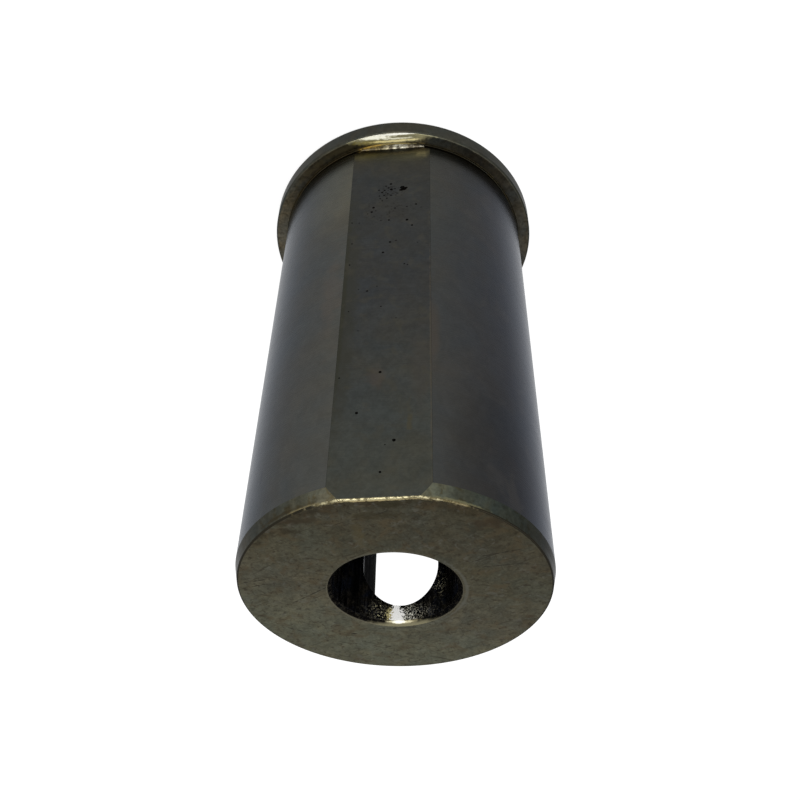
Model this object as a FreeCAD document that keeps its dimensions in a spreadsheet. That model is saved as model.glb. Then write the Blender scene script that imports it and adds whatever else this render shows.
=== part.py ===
import FreeCAD, Part
import math
import os
import sys

import Sketcher

# A flanged boring bar sleeve, turned from one piece of tool steel.
# It stands on the outer face of its flange: the origin is the centre of that face, and +Z runs along
# the axis to the tail. The clamping flat faces -Y, and the screw slot is opposite to it, on +Y.
# All sizes are in millimetres.

NODE = "boring_bar_sleeve"

SIZES = [
    ("shank_diameter", 63.5, "outside of the shank, which fits the tool block"),
    ("shank_length", 111.125, "from the flange's seat to the tail face"),
    ("flange_diameter", 69.85, "outside of the flange"),
    ("flange_thickness", 4.7625, "from the flange's outer face to its seat"),
    ("flange_edge_break", 0.4, "chamfer on both rims of the flange"),
    ("lead_in_length", 3.0, "taper on the tail, measured along the axis"),
    ("lead_in_depth", 0.65, "the same taper, measured on the radius"),
    ("tail_edge_round", 0.3, "round on the tail face's outer edge and the flat's end"),
    ("relief_width", 1.4, "grinding relief along the shank, run-out included"),
    ("relief_depth", 0.4, "grinding relief, measured on the radius"),
    ("relief_run_out", 0.4, "slope that leads out of the relief"),
    ("relief_sink", 0.3, "how deep the relief goes into the seat"),
    ("relief_reach", 0.1, "how far it goes out along the seat, past the shank's surface"),
    ("relief_corner", 0.25, "radius at the bottom of the relief"),
    ("bore_diameter", 25.4, "bore for the bar"),
    ("bore_mouth", 0.9, "chamfer at both mouths of the bore"),
    ("flat_depth", 1.46, "how far the clamping flat lies below the shank's surface"),
    ("flat_gap", 0.1, "material left between the end of the flat and the seat"),
    ("flat_corner", 0.3, "radius that the cutter leaves at the end of the flat"),
    ("slot_width", 16.0, "slot for the block's clamp screws"),
    ("slot_tail_web", 4.4, "from the tail face to the end of the slot"),
    ("slot_seat_web", 12.7, "from the seat to the other end of the slot"),
    ("slot_edge_break", 0.4, "chamfer round the slot's outer edge"),
    ("cutter_run_over", 3.0, "how far each cut runs past the metal"),
]

# Places that several sketches share, as expressions of the sheet's sizes.
SHANK = "dimensions.shank_diameter / 2"
SEAT = "dimensions.flange_thickness"
TAIL = "dimensions.flange_thickness + dimensions.shank_length"
OVER_TAIL = f"{TAIL} + dimensions.cutter_run_over"

NEAR = 0.001  # how close a point has to be to count as lying on a surface


def fill_sheet(doc):
    """Writes the driving sizes in a sheet, one row each: the number, its alias and what it is."""
    sheet = doc.addObject("Spreadsheet::Sheet", "dimensions")
    for row, (alias, number, note) in enumerate(SIZES, 1):
        sheet.set(f"A{row}", str(number))
        sheet.setAlias(f"A{row}", alias)
        sheet.set(f"B{row}", note)
    doc.recompute()
    return sheet


def new_sketch(body, name, role):
    """Makes a sketch on one of the body's own origin planes."""
    sketch = body.newObject("Sketcher::SketchObject", name)
    plane = next(item for item in body.Origin.OriginFeatures if item.Role == role)
    sketch.AttachmentSupport = [(plane, "")]
    sketch.MapMode = "FlatFace"
    sketch.Visibility = False
    return sketch


def tie_size(sketch, kind, expression, *points):
    """Adds one dimension to a sketch and binds it to the sheet."""
    number = sketch.addConstraint(
        Sketcher.Constraint(kind, *points, sketch.evalExpression(expression))
    )
    sketch.setExpression(f"Constraints[{number}]", expression)


def tie_point(sketch, line, end, across, along):
    """Ties a point to the sheet by its distances from the sketch's axes. None puts it on the axis."""
    for kind, axis, expression in (("DistanceX", -2, across), ("DistanceY", -1, along)):
        if expression is None:
            sketch.addConstraint(Sketcher.Constraint("PointOnObject", line, end, axis))
        else:
            tie_size(sketch, kind, expression, -1, 1, line, end)


def place(sketch, across, along):
    """Works out where a corner lies at the sheet's present sizes."""
    return FreeCAD.Vector(*(sketch.evalExpression(part) if part else 0 for part in (across, along)), 0)


def draw_outline(sketch, corners):
    """Draws a closed outline of straight lines. Line n starts at corner n, which is tied to the sheet."""
    points = [place(sketch, *corner) for corner in corners]
    for start, end in zip(points, points[1:] + points[:1]):
        sketch.addGeometry(Part.LineSegment(start, end), False)
    for line, corner in enumerate(corners):
        before = (line - 1) % len(corners)
        sketch.addConstraint(Sketcher.Constraint("Coincident", before, 2, line, 1))
        tie_point(sketch, line, 1, *corner)


def round_corner(sketch, line, radius):
    """Rounds the corner where a line starts. The corner itself stays as a construction point."""
    arc = sketch.GeometryCount
    sketch.fillet(line, 1, sketch.evalExpression(radius), True, True)
    tie_size(sketch, "Radius", radius, arc)


def turn(body, kind, name, sketch):
    """Adds a feature that goes once round the body's axis."""
    feature = body.newObject(kind, name)
    feature.Profile = sketch
    feature.ReferenceAxis = (sketch, ["V_Axis"])
    feature.Angle = 360
    return feature


def mill(body, name, sketch, length, both_ways):
    """Adds a pocket that goes from its sketch to one side, or half of its length to each side."""
    pocket = body.newObject("PartDesign::Pocket", name)
    pocket.Profile = sketch
    pocket.Type = "Length"
    pocket.setExpression("Length", length)
    pocket.Midplane = both_ways
    pocket.Reversed = False
    pocket.Refine = False  # the shank stays two faces, which meet along a seam at +X
    return pocket


def turn_blank(body):
    """Shank, lead-in taper and flange, before anything is cut from them."""
    sketch = new_sketch(body, "blank_profile", "XZ_Plane")
    rim = "dimensions.flange_diameter / 2"
    inside_rim = f"{rim} - dimensions.flange_edge_break"
    draw_outline(sketch, [
        (None, None),
        (inside_rim, None),
        (rim, "dimensions.flange_edge_break"),
        (rim, f"{SEAT} - dimensions.flange_edge_break"),
        (inside_rim, SEAT),
        (SHANK, SEAT),
        (SHANK, f"{TAIL} - dimensions.lead_in_length"),
        (f"{SHANK} - dimensions.lead_in_depth", TAIL),
        (None, TAIL),
    ])
    return turn(body, "PartDesign::Revolution", "turned_blank", sketch)


def turn_relief(body):
    """Grinding relief in the corner between shank and seat.

    It undercuts both, so that a block's chamfered mouth can come up to the whole of the seat.
    """
    sketch = new_sketch(body, "relief_profile", "XZ_Plane")
    floor = f"{SHANK} - dimensions.relief_depth"
    reach = f"{SHANK} + dimensions.relief_reach"
    bottom = f"{SEAT} - dimensions.relief_sink"
    end = f"{SEAT} + dimensions.relief_width"
    draw_outline(sketch, [
        (floor, bottom),
        (reach, bottom),
        (reach, end),
        (SHANK, end),
        (floor, f"{end} - dimensions.relief_run_out"),
    ])
    round_corner(sketch, 0, "dimensions.relief_corner")
    return turn(body, "PartDesign::Groove", "grinding_relief", sketch)


def turn_bore(body):
    """Bore for the bar, right through, with a chamfer at each mouth."""
    sketch = new_sketch(body, "bore_profile", "XZ_Plane")
    wall = "dimensions.bore_diameter / 2"
    rim = f"{wall} + dimensions.bore_mouth"
    draw_outline(sketch, [
        (None, None),
        (rim, None),
        (wall, "dimensions.bore_mouth"),
        (wall, f"{TAIL} - dimensions.bore_mouth"),
        (rim, TAIL),
        (None, TAIL),
    ])
    return turn(body, "PartDesign::Groove", "bar_bore", sketch)


def mill_flat(body):
    """Clamping flat that the block's other screws press on, from the tail to just short of the seat."""
    sketch = new_sketch(body, "flat_profile", "YZ_Plane")
    face = f"-{SHANK} + dimensions.flat_depth"
    outside = f"-{SHANK} - dimensions.cutter_run_over"
    end = f"{SEAT} + dimensions.flat_gap"
    draw_outline(sketch, [
        (face, end),
        (face, OVER_TAIL),
        (outside, OVER_TAIL),
        (outside, end),
    ])
    round_corner(sketch, 0, "dimensions.flat_corner")
    width = "dimensions.shank_diameter + 2 * dimensions.cutter_run_over"
    return mill(body, "clamping_flat", sketch, width, True)


def mill_slot(body):
    """Long round-ended slot through the wall on +Y, which lets the screws reach the bar."""
    sketch = new_sketch(body, "slot_outline", "XZ_Plane")
    half = "dimensions.slot_width / 2"
    low = place(sketch, None, f"{SEAT} + dimensions.slot_seat_web + {half}")
    high = place(sketch, None, f"{TAIL} - dimensions.slot_tail_web - {half}")
    side = place(sketch, half, None)
    up = FreeCAD.Vector(0, 0, 1)
    sketch.addGeometry([
        Part.ArcOfCircle(Part.Circle(high, up, side.x), 0, math.pi),
        Part.LineSegment(high - side, low - side),
        Part.ArcOfCircle(Part.Circle(low, up, side.x), math.pi, 2 * math.pi),
        Part.LineSegment(low + side, high + side),
    ], False)
    for piece in range(4):
        sketch.addConstraint(Sketcher.Constraint("Tangent", piece, 2, (piece + 1) % 4, 1))
    sketch.addConstraint(Sketcher.Constraint("Equal", 0, 2))
    tie_size(sketch, "Radius", half, 0)
    tie_point(sketch, 0, 3, None, f"{TAIL} - dimensions.slot_tail_web - {half}")
    tie_point(sketch, 2, 3, None, f"{SEAT} + dimensions.slot_seat_web + {half}")
    return mill(body, "screw_slot", sketch, f"{SHANK} + dimensions.cutter_run_over", False)


def pick_edges(feature, belongs):
    """Names the edges that lie where a test wants them, at five points along each."""
    return [
        f"Edge{number}"
        for number, edge in enumerate(feature.Shape.Edges, 1)
        if all(belongs(point) for point in edge.discretize(Number=5))
    ]


def break_edges(body, kind, name, base, edges, size, expression):
    """Chamfers or rounds edges that the cuts before it left sharp."""
    feature = body.newObject(kind, name)
    feature.Base = (base, edges)
    feature.Refine = False
    feature.setExpression(size, expression)
    return feature


def break_slot_edge(body, base, sheet):
    """Small chamfer where the slot comes out through the shank, so that it doesn't score the block."""
    radius = sheet.shank_diameter / 2
    low = sheet.flange_thickness + sheet.slot_seat_web - NEAR
    high = sheet.flange_thickness + sheet.shank_length - sheet.slot_tail_web + NEAR

    def on_slot(point):
        on_shank = abs(math.hypot(point.x, point.y) - radius) < NEAR
        return on_shank and point.y > 0 and low < point.z < high

    edges = pick_edges(base, on_slot)
    kind = "PartDesign::Chamfer"
    return break_edges(body, kind, "slot_edge_break", base, edges, "Size", "dimensions.slot_edge_break")


def round_tail_edge(body, base, sheet):
    """Small round all the way along the outside of the tail face, the end of the flat included."""
    tail = sheet.flange_thickness + sheet.shank_length
    mouth = sheet.bore_diameter / 2 + sheet.bore_mouth

    def on_rim(point):
        return abs(point.z - tail) < NEAR and math.hypot(point.x, point.y) > mouth + NEAR

    edges = pick_edges(base, on_rim)
    kind = "PartDesign::Fillet"
    return break_edges(body, kind, "tail_edge_round", base, edges, "Radius", "dimensions.tail_edge_round")


def check_document(doc):
    """Stops with a plain message if an object failed or a sketch isn't fully tied down."""
    bad = [item.Name for item in doc.Objects if {"Invalid", "Error"} & set(item.State)]
    sketches = [item for item in doc.Objects if item.TypeId == "Sketcher::SketchObject"]
    bad += [item.Name for item in sketches if not item.FullyConstrained]
    if bad:
        sys.exit("these objects failed: " + ", ".join(bad))


def check_cut(before, after):
    """Stops if a cut took nothing away, as one that points off the metal would."""
    least_cut = 0.1
    if after.Shape.Volume > before.Shape.Volume - least_cut:
        sys.exit(f"{after.Name} cut nothing")


def check_shape(body):
    """Stops if a finished piece isn't one valid closed solid."""
    shape = body.Shape
    if shape.isNull() or not shape.isValid() or len(shape.Solids) != 1:
        sys.exit(f"{body.Label} isn't one valid solid")


def build_sleeve(doc, sheet):
    """Turns the blank, then makes each cut in the order of the real job."""
    body = doc.addObject("PartDesign::Body", "sleeve_body")
    body.Label = NODE
    blank = turn_blank(body)
    doc.recompute()
    stages = [blank]
    for cut in (turn_relief, turn_bore, mill_flat, mill_slot):
        stages.append(cut(body))
        doc.recompute()
        check_document(doc)
        check_cut(stages[-2], stages[-1])
    for finish in (break_slot_edge, round_tail_edge):
        stages.append(finish(body, stages[-1], sheet))
        doc.recompute()
        check_document(doc)
        check_cut(stages[-2], stages[-1])
    return body


def main():
    doc = FreeCAD.newDocument("sleeve")
    sheet = fill_sheet(doc)
    body = build_sleeve(doc, sheet)
    check_document(doc)
    check_shape(body)
    os.makedirs("parts", exist_ok=True)
    body.Shape.exportStep(f"parts/{body.Label}.step")
    box = body.Shape.BoundBox
    print(f"{body.Label}: {box.XLength:.3f} x {box.YLength:.3f} x {box.ZLength:.3f} mm,"
          f" {body.Shape.Volume:.1f} mm3")


main()
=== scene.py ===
import math

import bmesh
import bpy
from mathutils import Matrix, Vector, noise


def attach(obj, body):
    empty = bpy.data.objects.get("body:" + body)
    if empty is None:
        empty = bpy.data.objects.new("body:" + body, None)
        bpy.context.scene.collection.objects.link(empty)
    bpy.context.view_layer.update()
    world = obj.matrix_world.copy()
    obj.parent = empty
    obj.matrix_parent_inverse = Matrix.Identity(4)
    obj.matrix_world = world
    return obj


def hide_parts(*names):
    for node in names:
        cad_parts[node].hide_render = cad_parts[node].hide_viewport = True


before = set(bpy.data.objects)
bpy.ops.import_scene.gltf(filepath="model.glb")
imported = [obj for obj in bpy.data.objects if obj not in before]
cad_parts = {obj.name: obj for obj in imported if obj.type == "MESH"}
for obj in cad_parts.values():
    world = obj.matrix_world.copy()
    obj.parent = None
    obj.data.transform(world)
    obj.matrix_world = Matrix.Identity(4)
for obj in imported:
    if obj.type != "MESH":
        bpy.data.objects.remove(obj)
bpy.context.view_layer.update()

# A flanged boring bar sleeve of ground tool steel, standing on its flange.
# Metres, in the part's own frame: +Z up the bore to the tail, the clamping flat on -Y, the slot on +Y.

mm = 0.001  # sizes below are in millimetres, unless a note says otherwise
mergeWithin = 1e-7  # metres


# the turned body

sleeveSize = {
    "shankRadius": 31.75,
    "flangeRadius": 34.925,
    "seat": 4.7625,  # height of the flange's inner face
    "tail": 115.8875,  # height of the tail face
    "flangeChamfer": 0.4,
    "leadInLength": 3.0,  # the taper on the tail's rim
    "leadInDepth": 0.65,
    "reliefDepth": 0.4,  # the groove between shank and seat, into the shank
    "reliefSink": 0.3,  # and into the seat
    "reliefReach": 0.1,  # its outer wall, from the shank outwards
    "reliefEnd": 1.4,
    "reliefSlope": 0.4,
    "reliefCorner": 0.25,
    "boreRadius": 12.7,
    "boreChamfer": 0.9,
    "tailRound": 0.3,
    "handled": 0.12,  # the small round that use leaves on each turned corner
    "roundSteps": 6,
    "turnSteps": 288,
}


def newPiece(name, build):
    mesh = bpy.data.meshes.new(name)
    piece = bpy.data.objects.new(name, mesh)
    bpy.context.scene.collection.objects.link(piece)
    bm = bmesh.new()
    build(bm)
    bmesh.ops.remove_doubles(bm, verts=bm.verts, dist=mergeWithin)
    bmesh.ops.recalc_face_normals(bm, faces=bm.faces)
    bm.to_mesh(mesh)
    bm.free()
    return piece


def addLoop(bm, points):
    verts = [bm.verts.new(Vector(point) * mm) for point in points]
    for one, two in zip(verts, verts[1:] + verts[:1]):
        bm.edges.new((one, two))
    return verts


def roundCorners(bm, verts, radii, steps):
    for vert, radius in zip(verts, radii):
        if radius:
            bmesh.ops.bevel(bm, geom=[vert], affect="VERTICES", offset=radius * mm, offset_type="OFFSET",
                            segments=steps, profile=0.5, material=-1, clamp_overlap=True)


def turnSleeve(bm):
    s = sleeveSize
    shank, flange, bore = s["shankRadius"], s["flangeRadius"], s["boreRadius"]
    seat, tail, chamfer, handled = s["seat"], s["tail"], s["flangeChamfer"], s["handled"]
    floor, reach = shank - s["reliefDepth"], shank + s["reliefReach"]
    corners = [  # radius, height, round on the corner
        (bore + s["boreChamfer"], 0, handled),
        (flange - chamfer, 0, handled),
        (flange, chamfer, handled),
        (flange, seat - chamfer, handled),
        (flange - chamfer, seat, handled),
        (reach, seat, handled / 2),
        (reach, seat - s["reliefSink"], 0),
        (floor, seat - s["reliefSink"], s["reliefCorner"]),
        (floor, seat + s["reliefEnd"] - s["reliefSlope"], 0),
        (shank, seat + s["reliefEnd"], 0),
        (shank, tail - s["leadInLength"], 0),
        (shank - s["leadInDepth"], tail, s["tailRound"]),
        (bore + s["boreChamfer"], tail, handled),
        (bore, tail - s["boreChamfer"], handled),
        (bore, s["boreChamfer"], handled),
    ]
    verts = addLoop(bm, [(radius, 0, height) for radius, height, _ in corners])
    roundCorners(bm, verts, [radius for _, _, radius in corners], s["roundSteps"])
    bmesh.ops.spin(bm, geom=bm.verts[:] + bm.edges[:], cent=(0, 0, 0), axis=(0, 0, 1), dvec=(0, 0, 0),
                   angle=2 * math.pi, steps=s["turnSteps"], use_merge=True, use_duplicate=False)


# the clamping flat and the screw slot

flatSize = {
    "fromAxis": 30.29,
    "gapToSeat": 0.1,
    "cutterCorner": 0.3,  # the round that the cutter leaves at the flat's end
    "halfWidth": 12.0,  # of the cutter, which is wider than the flat
    "roundSteps": 8,
    "runOver": 3.0,  # how far a cutter goes past the steel
}

slotSize = {
    "halfWidth": 8.0,
    "low": 17.4625,
    "high": 111.4875,
    "chamfer": 0.4,
    "chamferReach": (-0.5, 3.0),  # both ends of its cutter, in chamfers along the slope
    "arcSteps": 40,
}


def extrudeOutline(bm, travel):
    face = bmesh.ops.contextual_create(bm, geom=bm.edges[:])["faces"]
    moved = bmesh.ops.extrude_face_region(bm, geom=face)
    top = [item for item in moved["geom"] if isinstance(item, bmesh.types.BMVert)]
    bmesh.ops.translate(bm, verts=top, vec=Vector(travel) * mm)


def flatCutter(bm):
    f, s = flatSize, sleeveSize
    face, outside = -f["fromAxis"], -s["shankRadius"] - f["runOver"]
    end, tail, turn = s["seat"] + f["gapToSeat"], s["tail"], s["tailRound"]
    rim = []  # leaves a round on the flat's end
    for step in range(f["roundSteps"] + 1):
        angle = step * math.pi / 2 / f["roundSteps"]
        rim.append((face + turn * (1 - math.cos(angle)), tail - turn * (1 - math.sin(angle))))
    past = tail + f["runOver"]
    outline = [(face, end), *rim, (face + turn, past), (outside, past), (outside, end)]
    verts = addLoop(bm, [(-f["halfWidth"], across, height) for across, height in outline])
    roundCorners(bm, verts[:1], [f["cutterCorner"]], f["roundSteps"])
    extrudeOutline(bm, (2 * f["halfWidth"], 0, 0))


def slotOutline(widen=0.0):
    s = slotSize
    half = s["halfWidth"]
    points = []
    for start, centre in ((0, s["high"] - half), (math.pi, s["low"] + half)):
        for step in range(s["arcSteps"] + 1):
            angle = start + step * math.pi / s["arcSteps"]
            points.append(((half + widen) * math.cos(angle), centre + (half + widen) * math.sin(angle)))
    return points


def slotCutter(bm):
    addLoop(bm, [(across, 0, height) for across, height in slotOutline()])
    extrudeOutline(bm, (0, sleeveSize["shankRadius"] + flatSize["runOver"], 0))


def slotEdgeCutter(bm):
    radius, chamfer = sleeveSize["shankRadius"], slotSize["chamfer"]
    rings = []
    for part in slotSize["chamferReach"]:
        ring = []
        for (ax, az), (bx, bz) in zip(slotOutline(), slotOutline(chamfer)):
            low = Vector((ax, math.sqrt(radius ** 2 - ax ** 2) - chamfer, az))
            high = Vector((bx, math.sqrt(radius ** 2 - bx ** 2), bz))
            ring.append(low + (high - low) * part)
        rings.append(addLoop(bm, ring))
    bmesh.ops.bridge_loops(bm, edges=bm.edges[:])
    for ring in rings:
        ends = [edge for edge in bm.edges if edge.verts[0] in ring and edge.verts[1] in ring]
        bmesh.ops.triangle_fill(bm, edges=ends, use_beauty=True)


def cut(piece, *cutters):
    for build in cutters:
        cutter = newPiece("cutter", build)
        boolean = piece.modifiers.new("cut", "BOOLEAN")
        boolean.operation = "DIFFERENCE"
        boolean.solver = "EXACT"
        boolean.use_self = build is pitCutter  # some pits run into each other
        boolean.object = cutter
        bpy.context.view_layer.update()
        left = bpy.data.meshes.new_from_object(piece.evaluated_get(bpy.context.evaluated_depsgraph_get()))
        piece.modifiers.clear()
        old, piece.data = piece.data, left
        bpy.data.meshes.remove(old)
        bpy.data.objects.remove(cutter)


# corrosion pits on the flat

pitSize = {
    "depth": 0.55,  # share of the radius
    "uneven": 0.25,  # share by which a pit's wall wanders
    "waves": 4,  # of that wandering in a millimetre
    "unlike": 7,  # how far apart the noise of two pits is read
    "subdivisions": 2,
}

pits = [  # across, height, radius
    (-2.85, 22.3, 0.58), (-3.25, 22.95, 0.66), (-2.6, 23.3, 0.47), (-3.8, 22.5, 0.37), (-0.06, 20.6, 0.34),
    (-0.2, 22.9, 0.39), (0.5, 22.2, 0.29), (1.4, 23.1, 0.27), (2, 23.9, 0.26), (1.5, 25.2, 0.25),
    (0.6, 24.6, 0.2), (-0.2, 25.3, 0.26), (2.6, 25.3, 0.2), (1.9, 27.2, 0.17), (2.8, 22.9, 0.22),
    (1.1, 21.4, 0.21), (0.8, 26.4, 0.22), (-1.1, 22.7, 0.2), (2.4, 26.4, 0.2), (-1.6, 24.6, 0.18),
    (3.88, 29.9, 0.35), (4.25, 31.6, 0.31), (3.3, 31.2, 0.15), (-1.23, 30.59, 0.22), (-4.07, 30.3, 0.2),
    (-6.19, 29.56, 0.28), (5.2, 32.2, 0.15), (-7.4, 30.9, 0.14), (0.08, 35.15, 0.25), (-4.12, 35.5, 0.36),
    (-5.3, 37.66, 0.29), (2, 35.2, 0.14), (7, 35.6, 0.15), (8.7, 35.4, 0.19), (-0.35, 43.48, 0.3),
    (-1.7, 43, 0.19), (8.35, 43.3, 0.21), (1.15, 47.1, 0.29), (-3.7, 51.6, 0.21), (-4.4, 51.9, 0.17),
    (8.5, 50.84, 0.2), (4.23, 60.07, 0.25), (2.12, 58.7, 0.15), (6.1, 59.4, 0.13), (1.06, 65.3, 0.19),
    (7.9, 66.4, 0.15), (0.67, 84.81, 0.33), (8.7, 85.9, 0.19), (4.82, 95.42, 0.32), (-2.45, 102.61, 0.36),
    (-0.81, 103.6, 0.14), (-0.09, 109.97, 0.26), (-6.6, 44.2, 0.14), (-2.2, 69.2, 0.13), (5.6, 72.5, 0.13),
]


def pitCutter(bm):
    p = pitSize
    for across, height, radius in pits:
        ball = bmesh.ops.create_icosphere(bm, subdivisions=p["subdivisions"], radius=radius * mm)["verts"]
        for vert in ball:
            wobble = noise.noise(vert.co / mm * p["waves"] + Vector((across, height, 0)) * p["unlike"])
            vert.co *= 1 + p["uneven"] * wobble
            vert.co.y *= p["depth"]
        bmesh.ops.translate(bm, verts=ball, vec=Vector((across, -flatSize["fromAxis"], height)) * mm)


def report(piece, label):
    bm = bmesh.new()
    bm.from_mesh(piece.data)
    print(label, len(bm.faces), "faces,", sum(not edge.is_manifold for edge in bm.edges), "open edges,",
          round(bm.calc_volume() / mm ** 3, 1), "mm3")
    bm.free()


sleeve = newPiece("groundSleeve", turnSleeve)
cut(sleeve, flatCutter, slotCutter, slotEdgeCutter, pitCutter)
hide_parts("boring_bar_sleeve")
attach(sleeve, "root")
report(sleeve, "sleeve built:")


# helpers for nodes: a value given as a socket is linked, any other is set

def addNode(tree, kind, values=None, **settings):
    node = tree.nodes.new("ShaderNode" + kind)
    for key, value in settings.items():
        setattr(node, key, value)
    for key, value in (values or {}).items():
        if isinstance(value, bpy.types.NodeSocket):
            tree.links.new(value, node.inputs[key])
        else:
            node.inputs[key].default_value = value
    return node


def maths(tree, operation, *values):
    return addNode(tree, "Math", dict(enumerate(values)), operation=operation).outputs[0]


def vectorMaths(tree, operation, *values, out=0):
    return addNode(tree, "VectorMath", dict(enumerate(values)), operation=operation).outputs[out]


def scaled(tree, vector, factor):
    return addNode(tree, "VectorMath", {0: vector, "Scale": factor}, operation="SCALE").outputs[0]


def remap(tree, value, low, high, toLow=0.0, toHigh=1.0, kind="SMOOTHSTEP"):
    values = {0: value, 1: low, 2: high, 3: toLow, 4: toHigh}
    return addNode(tree, "MapRange", values, interpolation_type=kind).outputs[0]


def rgba(color):
    return color if isinstance(color, bpy.types.NodeSocket) else (*color, 1.0)


def blend(tree, amount, one, two, kind="MIX"):
    values = {0: amount, 6: rgba(one), 7: rgba(two)}
    return addNode(tree, "Mix", values, data_type="RGBA", blend_type=kind).outputs[2]


def between(tree, amount, one, two):
    return addNode(tree, "Mix", {0: amount, 2: one, 3: two}, data_type="FLOAT").outputs[0]


def newGroup(name, inputs, outputs):
    group = bpy.data.node_groups.new(name, "ShaderNodeTree")
    for label, kind, value in inputs:
        socket = group.interface.new_socket(label, in_out="INPUT", socket_type="NodeSocket" + kind)
        if value is not None:
            socket.default_value = value
    for label, kind in outputs:
        group.interface.new_socket(label, in_out="OUTPUT", socket_type="NodeSocket" + kind)
    return group, group.nodes.new("NodeGroupInput").outputs, group.nodes.new("NodeGroupOutput")


def useGroup(tree, group, values, out):
    return addNode(tree, "Group", values, node_tree=group).outputs[out]


# effects that several finishes share, each one group with its own values above it

unrollRadius = 30


def makeAroundAxis():  # x: way round from the flat, y: radius, z: height
    group, given, result = newGroup("aroundAxis", [("Place", "Vector", None)], [("Unrolled", "Vector")])
    parts = addNode(group, "SeparateXYZ", {0: given["Place"]}).outputs
    angle = maths(group, "ARCTAN2", parts["X"], maths(group, "MULTIPLY", parts["Y"], -1.0))
    level = addNode(group, "CombineXYZ", {0: parts["X"], 1: parts["Y"], 2: 0.0}).outputs[0]
    radius = vectorMaths(group, "LENGTH", level, out="Value")
    way = maths(group, "MULTIPLY", angle, unrollRadius * mm)
    unrolled = addNode(group, "CombineXYZ", {0: way, 1: radius, 2: parts["Z"]})
    group.links.new(unrolled.outputs[0], result.inputs["Unrolled"])
    return group


lineShape = {
    "detail": 4.0,
    "roughness": 0.65,
    "fineShare": 0.7,
    "broadScale": 0.13,
    "broadDetail": 2.0,
    "broadShare": 0.3,
    "dark": 0.36,
    "light": 0.64,
}


def makeToolLines():
    s = lineShape
    inputs = [("Place", "Vector", None), ("Stretch", "Vector", (1, 1, 1)), ("Detail", "Float", s["detail"])]
    group, given, result = newGroup("toolLines", inputs, [("Shade", "Float")])
    stretched = vectorMaths(group, "MULTIPLY", given["Place"], given["Stretch"])
    values = {"Vector": stretched, "Scale": 1.0, "Detail": given["Detail"], "Roughness": s["roughness"]}
    fine = addNode(group, "TexNoise", values).outputs["Fac"]
    values = {"Vector": stretched, "Scale": s["broadScale"], "Detail": s["broadDetail"]}
    broad = addNode(group, "TexNoise", values).outputs["Fac"]
    fine = maths(group, "MULTIPLY", fine, s["fineShare"])
    both = maths(group, "ADD", fine, maths(group, "MULTIPLY", broad, s["broadShare"]))
    group.links.new(remap(group, both, s["dark"], s["light"], kind="LINEAR"), result.inputs["Shade"])
    return group


cloudShape = {"detail": 5.0, "roughness": 0.55, "distortion": 0.6, "dark": 0.28, "light": 0.72}


def makeCloud():
    s = cloudShape
    inputs = [("Place", "Vector", None), ("Size", "Float", 0.01), ("Cover", "Float", 0.5),
              ("Softness", "Float", 0.2), ("Seed", "Float", 0.0)]
    group, given, result = newGroup("cloud", inputs, [("Mask", "Float")])
    away = addNode(group, "CombineXYZ", {0: given["Seed"], 1: 0.0, 2: given["Seed"]}).outputs[0]
    moved = vectorMaths(group, "ADD", given["Place"], away)
    values = {"Vector": moved, "Scale": maths(group, "DIVIDE", 1.0, given["Size"]), "Detail": s["detail"],
              "Roughness": s["roughness"], "Distortion": s["distortion"]}
    fog = addNode(group, "TexNoise", values).outputs["Fac"]
    spread = remap(group, fog, s["dark"], s["light"], kind="LINEAR")
    edge = maths(group, "SUBTRACT", 1.0, given["Cover"])
    low = maths(group, "SUBTRACT", edge, given["Softness"])
    high = maths(group, "ADD", edge, given["Softness"])
    group.links.new(remap(group, spread, low, high), result.inputs["Mask"])
    return group


patchShape = {"detail": 3.0, "swing": 4.0}


def makePatch():
    inputs = [("Place", "Vector", None), ("Centre", "Vector", (0, 0, 0)),
              ("Size", "Vector", (0.001, 0.001, 0.001)), ("Ragged", "Float", 0.3), ("Grain", "Float", 0.002),
              ("Core", "Float", 0.3)]
    group, given, result = newGroup("patch", inputs, [("Mask", "Float")])
    away = vectorMaths(group, "SUBTRACT", given["Place"], given["Centre"])
    away = vectorMaths(group, "DIVIDE", away, given["Size"])
    distance = vectorMaths(group, "LENGTH", away, out="Value")
    values = {"Vector": given["Place"], "Scale": maths(group, "DIVIDE", 1.0, given["Grain"]),
              "Detail": patchShape["detail"]}
    ragged = maths(group, "SUBTRACT", addNode(group, "TexNoise", values).outputs["Fac"], 0.5)
    swing = maths(group, "MULTIPLY", given["Ragged"], patchShape["swing"])
    shift = maths(group, "MULTIPLY", ragged, swing)
    mask = remap(group, maths(group, "ADD", distance, shift), 1.0, given["Core"])
    group.links.new(mask, result.inputs["Mask"])
    return group


scratchShape = {
    "scale": 900.0,
    "detail": 2.0,
    "thin": 0.25,
    "wide": 1.3,
    "thinBelow": 0.38,
    "wideAbove": 0.58,
    "core": 0.35,
}


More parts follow.
